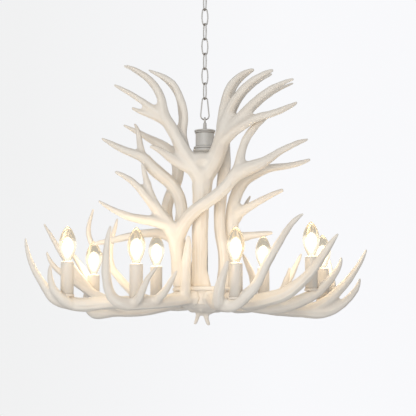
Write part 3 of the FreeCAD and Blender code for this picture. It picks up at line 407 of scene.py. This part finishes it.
def resin():
    material, tree, shader = new_material("antler_resin")
    # Painted shade: the furrow mark darkens the resin in the furrows and lightens it on their ridges.
    streak = tree.nodes.new("ShaderNodeAttribute")
    streak.attribute_name = "furrow"
    cloud = noise_on(tree, 14.0, 3.0)
    mix = tree.nodes.new("ShaderNodeMath")
    mix.operation = "MULTIPLY_ADD"
    mix.inputs[1].default_value = 0.5
    tree.links.new(streak.outputs["Fac"], mix.inputs[0])
    tree.links.new(cloud.outputs["Fac"], mix.inputs[2])
    colour = ramp_from(tree, mix.outputs["Value"], (0.86, 0.775, 0.67), (0.93, 0.875, 0.79), 0.35, 0.9)
    tree.links.new(colour, shader.inputs["Base Color"])
    shader.inputs["Roughness"].default_value = 0.5
    shader.inputs["Specular IOR Level"].default_value = 0.35
    bump_from(tree, shader, noise_on(tree, 70.0, 2.0).outputs["Fac"], 0.0005, 0.3)
    return material


RESIN = resin()


def remeshed(mesh, voxel):
    """The mesh as one even skin of quads."""
    holder = bpy.data.objects.new("remesh", mesh)
    bpy.context.scene.collection.objects.link(holder)
    modifier = holder.modifiers.new("skin", "REMESH")
    modifier.mode = "VOXEL"
    modifier.voxel_size = voxel
    graph = bpy.context.evaluated_depsgraph_get()
    skin = bpy.data.meshes.new_from_object(holder.evaluated_get(graph))
    bpy.data.objects.remove(holder)
    return skin


def points_of(mesh):
    """Where the vertices are, one row for each."""
    points = np.empty(len(mesh.vertices) * 3, np.float32)
    mesh.vertices.foreach_get("co", points)
    return points.reshape(-1, 3).astype(float)


def normals_of(mesh):
    normals = np.empty(len(mesh.vertices) * 3, np.float32)
    mesh.vertices.foreach_get("normal", normals)
    return normals.reshape(-1, 3).astype(float)


def set_points(mesh, points):
    mesh.vertices.foreach_set("co", points.astype(np.float32).ravel())
    mesh.update()


def edge_pairs(mesh):
    pairs = np.empty(len(mesh.edges) * 2, np.int32)
    mesh.edges.foreach_get("vertices", pairs)
    return pairs.reshape(-1, 2)


def evened(values, pairs, rounds):
    """Values averaged, round by round, with those of the vertices next to them."""
    count = len(values)
    flat = values.reshape(count, -1).copy()
    degree = np.bincount(pairs.ravel(), minlength=count).astype(float)[:, None]
    for _ in range(rounds):
        total = np.empty_like(flat)
        for k in range(flat.shape[1]):
            total[:, k] = (np.bincount(pairs[:, 0], flat[pairs[:, 1], k], count)
                           + np.bincount(pairs[:, 1], flat[pairs[:, 0], k], count))
        flat = 0.5 * flat + 0.5 * total / degree
    return flat.reshape(values.shape)


def beam_direction(normals, pairs):
    """The line of the beam at each vertex: the direction that the normals round it stand square to."""
    products = np.einsum("ni,nj->nij", normals, normals).reshape(-1, 9)
    spread = evened(products, pairs, LINE_ROUNDS).reshape(-1, 3, 3)
    return np.linalg.eigh(spread)[1][:, :, 0]


def drawn_out(noise, points, line):
    """Noise drawn out along the beam, from the vertex a step ahead and a step behind."""
    tree = KDTree(len(points))
    for i, p in enumerate(points):
        tree.insert(p, i)
    tree.balance()
    for reach in FURROW_STEPS:
        ahead = np.array([tree.find(p)[1] for p in points + line * reach])
        behind = np.array([tree.find(p)[1] for p in points - line * reach])
        for _ in range(FURROW_ROUNDS):
            noise = (noise + noise[ahead] + noise[behind]) / 3
    return noise / noise.std()


def webbed_skin(node, name, web, plump, skirt):
    """One skin round the CAD piece and its skirt, grown and drawn back so that its forks are webbed."""
    bm = bmesh.new()
    bm.from_mesh(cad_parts[node].data)
    if skirt:
        extra = spun("skirt", skirt, RESIN)
        bm.from_mesh(extra.data)
        bpy.data.objects.remove(extra)
    bmesh.ops.remove_doubles(bm, verts=bm.verts, dist=WELD_DISTANCE)
    rough = bpy.data.meshes.new(name + "_rough")
    bm.to_mesh(rough)
    bm.free()
    voxel = VOXEL
    skin = remeshed(rough, max(FIRST_VOXEL, voxel))
    set_points(skin, points_of(skin) + normals_of(skin) * web)
    skin = remeshed(skin, voxel)
    pairs = edge_pairs(skin)
    set_points(skin, evened(points_of(skin), pairs, SMOOTH_ROUNDS))
    set_points(skin, points_of(skin) - normals_of(skin) * (web - plump))
    set_points(skin, evened(points_of(skin), pairs, SMOOTH_ROUNDS))
    return skin


def furrow_skin(skin, seed):
    """Presses furrows and slow swellings into the skin, and marks the furrows for the shade painted in the
    resin.
    """
    points, normals, pairs = points_of(skin), normals_of(skin), edge_pairs(skin)
    rng = np.random.default_rng(seed)
    white = rng.normal(size=len(points))
    line = beam_direction(normals, pairs)
    furrow = evened(drawn_out(evened(white, pairs, GRAIN_ROUNDS), points, line), pairs, 1)
    stoutness = np.linalg.norm(evened(normals, pairs, LINE_ROUNDS), axis=1)     # near 1 on a thick beam
    stoutness = evened(stoutness, pairs, STOUTNESS_ROUNDS)
    furrow *= np.clip((stoutness - TIP_STOUTNESS) / STOUTNESS_RISE, 0, 1)
    swell = evened(rng.normal(size=len(points)), pairs, SWELL_ROUNDS)
    swell = swell / swell.std()
    depth = FURROW_DEPTH * np.clip(furrow, -2, 2) + SWELL_DEPTH * np.clip(swell, -2, 2)
    set_points(skin, points + normals * depth[:, None])
    # Painted shade along the furrows: darker where the skin is pressed in, lighter where it stands out.
    value = skin.attributes.new("furrow", "FLOAT", "POINT")
    value.data.foreach_set("value", np.clip(0.5 + furrow * FURROW_PAINTED_SHADE, 0, 1).astype(np.float32))


def cast_antler(node, name, seed, web=WEB, plump=PLUMP, skirt=()):
    """The finished casting for one CAD antler, with a turned skirt in it where there is one."""
    skin = webbed_skin(node, name, web, plump, skirt)
    furrow_skin(skin, seed)
    skin.shade_smooth()
    skin.materials.clear()
    skin.materials.append(RESIN)
    skin.name = name
    piece = bpy.data.objects.new(name, skin)
    bpy.context.scene.collection.objects.link(piece)
    return fixed_piece(piece, node)


ANTLERS = sorted(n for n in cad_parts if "_antler_" in n)
for seed, node in enumerate(ANTLERS):
    cast_antler(node, "cast_" + node, seed)


# ---- Hub disc and finial -------------------------------------------------------------------------
# The resin disc that the crown stands on, whose skirt fills the gaps between the sawn arms, and the
# boss that hides the lowest nut, with its prongs.
SKIRT_TOP_R, SKIRT_FOOT_R, SKIRT_BORE_R = 71 * MM, 66 * MM, 46 * MM
SKIRT_BELOW_ARMS = 7 * MM
DISC_WEB = 1.2 * MM
FINIAL_WEB, FINIAL_PLUMP = 2.5 * MM, 0.3 * MM
DISC_SEED, FINIAL_SEED = 30, 31

low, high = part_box("hub_spacer")
skirt_foot, skirt_top = low.z - SKIRT_BELOW_ARMS, high.z + 2 * MM
skirt_section = [(SKIRT_BORE_R, skirt_foot), (SKIRT_FOOT_R, skirt_foot),
                 (SKIRT_TOP_R - 2 * MM, high.z - 8 * MM), (SKIRT_TOP_R, skirt_top),
                 (SKIRT_BORE_R, skirt_top), (SKIRT_BORE_R, skirt_foot)]
cast_antler("crown_plate", "cast_hub_disc", DISC_SEED, DISC_WEB, 0.0, skirt_section)
cast_antler("bottom_finial", "cast_finial", FINIAL_SEED, FINIAL_WEB, FINIAL_PLUMP)


# ---- Candles -------------------------------------------------------------------------------------
# A dish on the flat of the beam, a threaded nipple, a moulded lampholder, and a smooth candle tube
# with a rounded lip that drops over it.
def candle_plastic():
    material, tree, shader = new_material("candle_plastic")
    tone = noise_on(tree, 30.0, 2.0, (1, 1, 0.3))
    tree.links.new(ramp_from(tree, tone.outputs["Fac"], (0.86, 0.795, 0.705), (0.90, 0.845, 0.765)),
                   shader.inputs["Base Color"])
    shader.inputs["Roughness"].default_value = 0.45
    bump_from(tree, shader, noise_on(tree, 260.0, 3.0, (1, 1, 0.15)).outputs["Fac"], 0.0002, 0.2)
    return material


def plain_brass():
    material, tree, shader = new_material("plain_brass")
    tone = noise_on(tree, 120.0)
    tree.links.new(ramp_from(tree, tone.outputs["Fac"], (0.70, 0.52, 0.24), (0.80, 0.63, 0.33)),
                   shader.inputs["Base Color"])
    shader.inputs["Metallic"].default_value = 1.0
    shader.inputs["Roughness"].default_value = 0.33
    return material


CANDLE = candle_plastic()
finish_node("candle_nipples", plain_brass())
finish_node("lampholders", CANDLE)
CANDLES = range(1, 9)
CANDLE_STEPS = 48
DISH_RIM_R, DISH_INNER_R, DISH_BORE_R = 18 * MM, 16.3 * MM, 5.3 * MM
DISH_DEPTH = 6 * MM
DISH_FLOOR = 3 * MM            # the candle tube stands on it
SLEEVE_LIP = 4.5 * MM
SLEEVE_WALL = 1.8 * MM
SLEEVE_MOUTH = 10.8 * MM


def middle_of(node):
    """Where a candle's axis stands, across the light."""
    low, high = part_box(node)
    return (low.x + high.x) / 2, (low.y + high.y) / 2


def dish_section(seat):
    lip = 0.8 * MM
    return ([(DISH_BORE_R, seat), (DISH_RIM_R - 1.2 * MM, seat), (DISH_RIM_R, seat + 1.2 * MM)]
            + arc(DISH_RIM_R - lip, seat + DISH_DEPTH - lip, lip, 0, 180)
            + [(DISH_INNER_R, seat + DISH_DEPTH - 1 * MM), (DISH_INNER_R, seat + DISH_FLOOR),
               (DISH_BORE_R, seat + DISH_FLOOR), (DISH_BORE_R, seat)])


def sleeve_section(low, high, radius):
    inner = radius - SLEEVE_WALL
    return ([(inner, low), (radius, low)]
            + arc(radius - SLEEVE_LIP, high - SLEEVE_LIP, SLEEVE_LIP, 0, 90, 9)
            + [(SLEEVE_MOUTH, high), (SLEEVE_MOUTH, high - SLEEVE_WALL),
               (radius - SLEEVE_LIP, high - SLEEVE_WALL), (inner, high - SLEEVE_LIP), (inner, low)])


dishes = bmesh.new()
for number in CANDLES:
    node = "candle_sleeve_%d" % number
    low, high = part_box(node)
    x, y = middle_of(node)
    radius = (high.x - low.x) / 2
    sleeve = spun("candle_tube_%d" % number, sleeve_section(low.z, high.z, radius), CANDLE, CANDLE_STEPS,
                  (x, y, 0))
    fixed_piece(sleeve, node)
    dish = spun("dish", dish_section(low.z - DISH_FLOOR), RESIN, CANDLE_STEPS, (x, y, 0))
    dishes.from_mesh(dish.data)
    bpy.data.objects.remove(dish)
fixed_piece(shaded(dishes, "candle_dishes", RESIN), "candle_cups")


# ---- Bulbs ---------------------------------------------------------------------------------------
# Candle bulbs, lit: a drawn and lightly frosted glass envelope over straight filaments, whose glare
# fills its lower half, on a rolled screw cap. A small lamp in each gives the light that it throws.
GLASS_WALL = 0.7 * MM
GLASS_STEPS, CAP_STEPS, GLARE_STEPS = 40, 32, 24
CAP_R = 7 * MM
CAP_DEPTH = 26 * MM
CAP_THREADS = 12               # crests and hollows of the rolled thread
THREAD_PITCH = 1.4 * MM        # from a crest to the next hollow
THREAD_DEPTH = 0.8 * MM
COLLAR_R = 8.2 * MM            # where the glass is crimped into the cap
FILAMENT_COUNT = 4
FILAMENT_R = 0.7 * MM
FILAMENT_LOW, FILAMENT_HIGH = 18 * MM, 44 * MM
FILAMENT_SPREAD = 2.6 * MM
FILAMENT_STRENGTH = 60.0
WARM_LIGHT = (1.0, 0.79, 0.52)
BULB_POWER = 0.26              # watts of light
GLARE = [(0, 12), (1.6, 13), (3.0, 17), (4.6, 23), (5.8, 29), (6.2, 34), (5.6, 39), (4.2, 44), (2.4, 47.5),
         (1.0, 49), (0, 49.5)]                        # (radius, height over the neck), mm
GLARE_STRENGTH = 1.15
HAZE_STRENGTH = 1.0
HAZE_SWELL = 1.6
HAZE_COVER = 0.3


def bulb_glass():
    material, tree, shader = new_material("bulb_glass")
    streak = noise_on(tree, 110.0, 2.0, (1, 1, 0.08))
    tree.links.new(ramp_from(tree, streak.outputs["Fac"], (1.0, 0.945, 0.85), (1.0, 0.985, 0.94)),
                   shader.inputs["Base Color"])
    shader.inputs["Roughness"].default_value = 0.26
    shader.inputs["IOR"].default_value = 1.2
    shader.inputs["Transmission Weight"].default_value = 1.0
    # A faint painted glow in the glass, standing in for the filaments' light in it.
    shader.inputs["Emission Color"].default_value = (1.0, 0.84, 0.58, 1)
    shader.inputs["Emission Strength"].default_value = 0.05
    return material


def bulb_glow(name, strength, cover):
    """A light that covers only part of what is behind it, as the glare round a filament does."""
    material, tree, shader = new_material(name)
    cloud = noise_on(tree, 60.0, 1.0)
    tree.links.new(ramp_from(tree, cloud.outputs["Fac"], WARM_LIGHT, (1.0, 0.86, 0.64)),
                   shader.inputs["Emission Color"])
    shader.inputs["Base Color"].default_value = (0.9, 0.85, 0.7, 1)
    shader.inputs["Alpha"].default_value = cover
    shader.inputs["Emission Strength"].default_value = strength
    return material


def cap_metal():
    material, tree, shader = new_material("cap_nickel")
    tone = noise_on(tree, 200.0)
    tree.links.new(ramp_from(tree, tone.outputs["Fac"], (0.66, 0.64, 0.60), (0.78, 0.76, 0.72)),
                   shader.inputs["Base Color"])
    shader.inputs["Metallic"].default_value = 1.0
    shader.inputs["Roughness"].default_value = 0.28
    return material


GLASS = bulb_glass()
FILAMENT = bulb_glow("filament_light", FILAMENT_STRENGTH, 1.0)
GLARE_LIGHT = bulb_glow("glare_light", GLARE_STRENGTH, 1.0)
HAZE_LIGHT = bulb_glow("haze_light", HAZE_STRENGTH, HAZE_COVER)
for glow in (GLASS, FILAMENT, GLARE_LIGHT, HAZE_LIGHT):          # the lamp in the bulb does the lighting
    glow.cycles.emission_sampling = "NONE"
NICKEL = cap_metal()


def envelope(low, high, belly, inset):
    """Half outline of the drawn glass, from the neck to the tip, inset for its inner face."""
    height = high - low
    outline = [(0.40, 0.0), (0.43, 0.02), (0.48, 0.05), (0.57, 0.10), (0.69, 0.16), (0.80, 0.23),
               (0.90, 0.31), (0.97, 0.39), (1.0, 0.46), (0.985, 0.54), (0.93, 0.62), (0.835, 0.70),
               (0.72, 0.77), (0.585, 0.84), (0.44, 0.90), (0.28, 0.95), (0.14, 0.98), (0.05, 0.994),
               (0.0, 1.0)]                            # (share of the belly, share of the height)
    return [(max(r * belly - inset, 0.0), low + z * height + inset * (1 - 2 * z)) for r, z in outline]


def cap_section(low, neck):
    """The screw cap: contact, insulator, rolled thread, and the collar that holds the glass."""
    middle_r = CAP_R - 0.45 * MM
    thread = [(middle_r - THREAD_DEPTH / 2 * math.cos(k * math.pi), low + 5 * MM + k * THREAD_PITCH)
              for k in range(CAP_THREADS)]
    return ([(0, low), (2.6 * MM, low), (3 * MM, low + 1 * MM), (4 * MM, low + 2 * MM),
             (CAP_R - 0.9 * MM, low + 4 * MM)]
            + thread
            + [(CAP_R - 0.3 * MM, neck - 4 * MM), (CAP_R - 0.1 * MM, neck - 1 * MM),
               (COLLAR_R, neck + 0.2 * MM), (COLLAR_R, neck + 1.4 * MM), (0, neck + 1.4 * MM)])


def glare_section(neck, swell):
    """The glare's half outline over the bulb's neck, swollen about its own middle."""
    half = GLARE[-1][1] / 2
    return [(r * swell * MM, neck + (half + (z - half) * (1 + (swell - 1) / 2)) * MM) for r, z in GLARE]


def filament_rods(name, middle):
    rods = bmesh.new()
    for k in range(FILAMENT_COUNT):
        turn = 2 * math.pi * (k + 0.5) / FILAMENT_COUNT
        rod = bmesh.ops.create_cone(rods, cap_ends=True, segments=8, radius1=FILAMENT_R, radius2=FILAMENT_R,
                                    depth=FILAMENT_HIGH - FILAMENT_LOW)["verts"]
        aside = Vector((math.cos(turn), math.sin(turn), 0)) * FILAMENT_SPREAD
        bmesh.ops.translate(rods, verts=rod, vec=aside)
    bmesh.ops.translate(rods, verts=rods.verts, vec=middle)
    return shaded(rods, name, FILAMENT)


def bulb_lamp(name, middle):
    """The light that the filaments throw on what is round them."""
    lamp = bpy.data.lights.new(name, "POINT")
    lamp.energy = BULB_POWER
    lamp.color = WARM_LIGHT
    lamp.shadow_soft_size = 10 * MM
    holder = bpy.data.objects.new(name, lamp)
    holder.location = middle
    holder.visible_glossy = holder.visible_transmission = False
    bpy.context.scene.collection.objects.link(holder)


def bulb_part(piece, body):
    """A piece inside or under the glass, which goes where the bulb goes."""
    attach(piece, body)


for number in CANDLES:
    node = "bulb_%d" % number
    low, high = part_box(node)
    x, y = middle_of(node)
    place = (x, y, 0)
    belly = (high.x - low.x) / 2
    neck = low.z + CAP_DEPTH
    skin = envelope(neck, high.z, belly, 0.0) + envelope(neck, high.z, belly, GLASS_WALL)[::-1]
    glass = spun("bulb_glass_%d" % number, skin, GLASS, GLASS_STEPS, place)
    glass.visible_shadow = glass.visible_diffuse = False
    fixed_piece(glass, node, node)
    bulb_part(spun("bulb_cap_%d" % number, cap_section(low.z, neck), NICKEL, CAP_STEPS, place), node)
    light_middle = (x, y, neck + (FILAMENT_LOW + FILAMENT_HIGH) / 2)
    filaments = filament_rods("bulb_filaments_%d" % number, light_middle)
    filaments.visible_diffuse = filaments.visible_glossy = filaments.visible_transmission = False
    filaments.visible_shadow = False
    bulb_part(filaments, node)
    bulb_lamp("bulb_light_%d" % number, light_middle)
    for name, swell, light in (("bulb_glare_%d", 1.0, GLARE_LIGHT), ("bulb_haze_%d", HAZE_SWELL, HAZE_LIGHT)):
        glare = spun(name % number, glare_section(neck, swell), light, GLARE_STEPS, place)
        glare.visible_shadow = glare.visible_diffuse = glare.visible_glossy = False
        bulb_part(glare, node)


# ---- Floor, light and camera ---------------------------------------------------------------------
# A pale floor below, a white surround, one broad soft lamp, and a camera that looks up a little.
FLOOR_Z = -1.9
FLOOR_REACH = 8.0
SURROUND_LIGHT = 0.4
KEY_PLACE = (-0.8, -3.2, 0.2)          # from the hub
KEY_SIZE = 2.0
KEY_POWER = 46
CAMERA_DISTANCE = 3.0
LOOK_UP = math.radians(6.0)
AIM_ABOVE_HUB = 0.225
AIM_RIGHT = 0.008
PICTURE_WIDTH = 1.051          # metres across the picture at the aim point


def seen_instead(tree, lit, seen, fac, output):
    """Rays that the factor picks see one shader, and all others are lit by the other."""
    choose = tree.nodes.new("ShaderNodeMixShader")
    tree.links.new(fac, choose.inputs["Fac"])
    tree.links.new(lit.outputs[0], choose.inputs[1])
    tree.links.new(seen.outputs[0], choose.inputs[2])
    tree.links.new(choose.outputs[0], tree.nodes[output].inputs["Surface"])


def stage_white():
    material, tree, shader = new_material("pale_floor")
    tone = noise_on(tree, 3.0, 2.0)
    colour = ramp_from(tree, tone.outputs["Fac"], (0.84, 0.845, 0.85), (0.86, 0.865, 0.87))
    tree.links.new(colour, shader.inputs["Base Color"])
    shader.inputs["Roughness"].default_value = 0.8
    seen = tree.nodes.new("ShaderNodeEmission")
    tree.links.new(colour, seen.inputs["Color"])
    path = tree.nodes.new("ShaderNodeLightPath")
    seen_instead(tree, shader, seen, path.outputs["Is Camera Ray"], "Material Output")
    return material


bm = bmesh.new()
bmesh.ops.create_grid(bm, x_segments=2, y_segments=2, size=FLOOR_REACH)
bmesh.ops.translate(bm, verts=bm.verts, vec=(0, 0, FLOOR_Z))
floor = shaded(bm, "floor", stage_white())


def either(tree, first, second):
    greater = tree.nodes.new("ShaderNodeMath")
    greater.operation = "MAXIMUM"
    tree.links.new(first, greater.inputs[0])
    tree.links.new(second, greater.inputs[1])
    return greater.outputs[0]


def white_surround():
    """A wall-white world, a little darker on the left, that lights the object more dimly than it shows."""
    world = bpy.data.worlds.new("surround")
    world.use_nodes = True
    world.cycles.sampling_method = "NONE"                  # an even surround needs no map
    tree = world.node_tree
    lit = tree.nodes["Background"]
    lit.inputs["Color"].default_value = (0.86, 0.88, 0.92, 1)
    lit.inputs["Strength"].default_value = SURROUND_LIGHT
    seen = tree.nodes.new("ShaderNodeBackground")
    bearing = tree.nodes.new("ShaderNodeTexCoord")
    parts = tree.nodes.new("ShaderNodeSeparateXYZ")
    tree.links.new(bearing.outputs["Generated"], parts.inputs["Vector"])
    across = tree.nodes.new("ShaderNodeMath")              # brings -1 to 1 into 0 to 1
    across.operation = "MULTIPLY_ADD"
    across.inputs[1].default_value = across.inputs[2].default_value = 0.5
    tree.links.new(parts.outputs["X"], across.inputs[0])
    pale = ramp_from(tree, across.outputs["Value"], (0.878, 0.881, 0.885), (0.945, 0.948, 0.968), 0.42, 0.53)
    tree.links.new(pale, seen.inputs["Color"])
    seen.inputs["Strength"].default_value = 1.0
    rays = tree.nodes.new("ShaderNodeLightPath").outputs
    seen_by = either(tree, either(tree, rays["Is Camera Ray"], rays["Is Glossy Ray"]),
                     rays["Is Transmission Ray"])
    seen_instead(tree, lit, seen, seen_by, "World Output")
    return world


bpy.context.scene.world = white_surround()

low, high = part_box("hub_spacer")
hub = Vector((0, 0, (low.z + high.z) / 2))
middle = hub + Vector((0, 0, AIM_ABOVE_HUB))
lamp = bpy.data.lights.new("key", "AREA")
lamp.shape = "RECTANGLE"
lamp.size = lamp.size_y = KEY_SIZE
lamp.energy = KEY_POWER
lamp.color = (1.0, 0.975, 0.94)
key = bpy.data.objects.new("key", lamp)
key.location = hub + Vector(KEY_PLACE)
key.rotation_euler = (middle - key.location).to_track_quat("-Z", "Y").to_euler()
bpy.context.scene.collection.objects.link(key)

camera = bpy.data.cameras.new("camera")
camera.angle = 2 * math.atan(PICTURE_WIDTH / 2 / CAMERA_DISTANCE)
viewer = bpy.data.objects.new("camera", camera)
aim = middle + Vector((AIM_RIGHT, 0, 0))
viewer.location = aim - Vector((0, math.cos(LOOK_UP), math.sin(LOOK_UP))) * CAMERA_DISTANCE
viewer.rotation_euler = (aim - viewer.location).to_track_quat("-Z", "Y").to_euler()
bpy.context.scene.collection.objects.link(viewer)
bpy.context.scene.camera = viewer
bpy.context.scene.view_settings.view_transform = "Standard"
